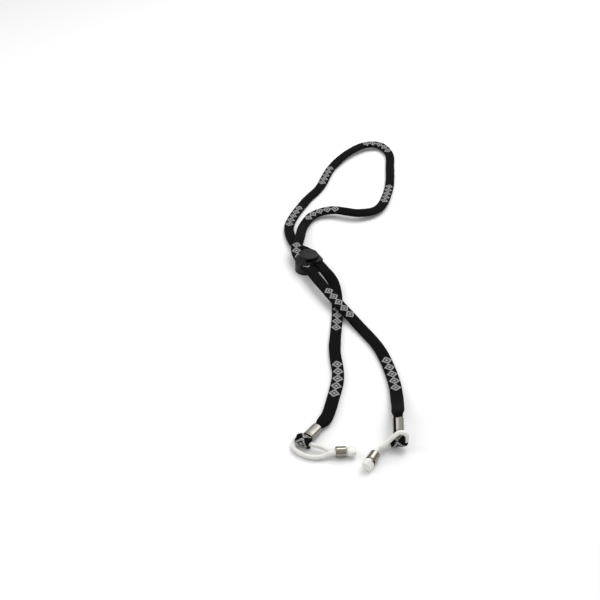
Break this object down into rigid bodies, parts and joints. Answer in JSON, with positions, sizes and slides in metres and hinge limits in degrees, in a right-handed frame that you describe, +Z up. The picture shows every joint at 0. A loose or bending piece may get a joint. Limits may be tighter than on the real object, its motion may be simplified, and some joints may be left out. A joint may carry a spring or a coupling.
{
  "type": "eyeglass retainer strap",
  "caption": "Flat woven neck strap for eyeglasses, with a spring cord lock that slides on both strands and a silicone temple loop with a metal ferrule on each end.",
  "frame": {"origin": "centre of the cord lock's flat base, on the surface that the strap lies on", "axes": "+Z up, +Y from the silicone loops towards the neck loop along the strap's length, +X to the right seen from the silicone loops' end"},
  "size_m": [0.0836, 0.3296, 0.0126],
  "materials": {
    "woven_cord": "black woven polyester tube, flattened, with a small grey jacquard motif",
    "crimp_nickel": "satin nickel plate",
    "lock_plastic": "matte black moulded acetal",
    "spring_steel": "bright spring wire",
    "silicone": "milky translucent silicone",
    "ferrule_nickel": "polished nickel plate"
  },
  "bodies": {
    "cord": {"strap": "woven_cord", "crimp_left": "crimp_nickel", "crimp_right": "crimp_nickel"},
    "lock": {"lock_body": "lock_plastic", "lock_spring": "spring_steel"},
    "button": {"lock_button": "lock_plastic"},
    "loop_left": {"silicone_loop_left": "silicone"},
    "loop_right": {"silicone_loop_right": "silicone"},
    "ring_left": {"ferrule_left": "ferrule_nickel"},
    "ring_right": {"ferrule_right": "ferrule_nickel"}
  },
  "joints": [
    {"name": "lock_slide", "type": "slide", "parent": "cord", "child": "lock", "axis": [-0.4384, 0.8988, 0], "range_m": [-0.006, 0.002]},
    {"name": "button_press", "type": "slide", "parent": "lock", "child": "button", "axis": [0, 0, -1], "range_m": [0, 0.0015], "stiffness_N_per_m": 800, "springref_m": -0.001, "deforming": ["lock_spring"]},
    {"name": "loop_left_turn", "type": "hinge", "parent": "cord", "child": "loop_left", "pos_m": [-0.0038, -0.1461, 0.0035], "axis": [0.8211, -0.5708, 0], "range_deg": [0, 40]},
    {"name": "loop_right_turn", "type": "hinge", "parent": "cord", "child": "loop_right", "pos_m": [0.0414, -0.147, 0.0042], "axis": [-0.9005, 0.2057, -0.383], "range_deg": [0, 20]},
    {"name": "ferrule_left_slide", "type": "slide", "parent": "loop_left", "child": "ring_left", "axis": [-0.9988, -0.0499, 0], "range_m": [0, 0.0025]},
    {"name": "ferrule_right_slide", "type": "slide", "parent": "loop_right", "child": "ring_right", "axis": [0.5201, 0.8541, 0], "range_m": [0, 0.0025]}
  ]
}
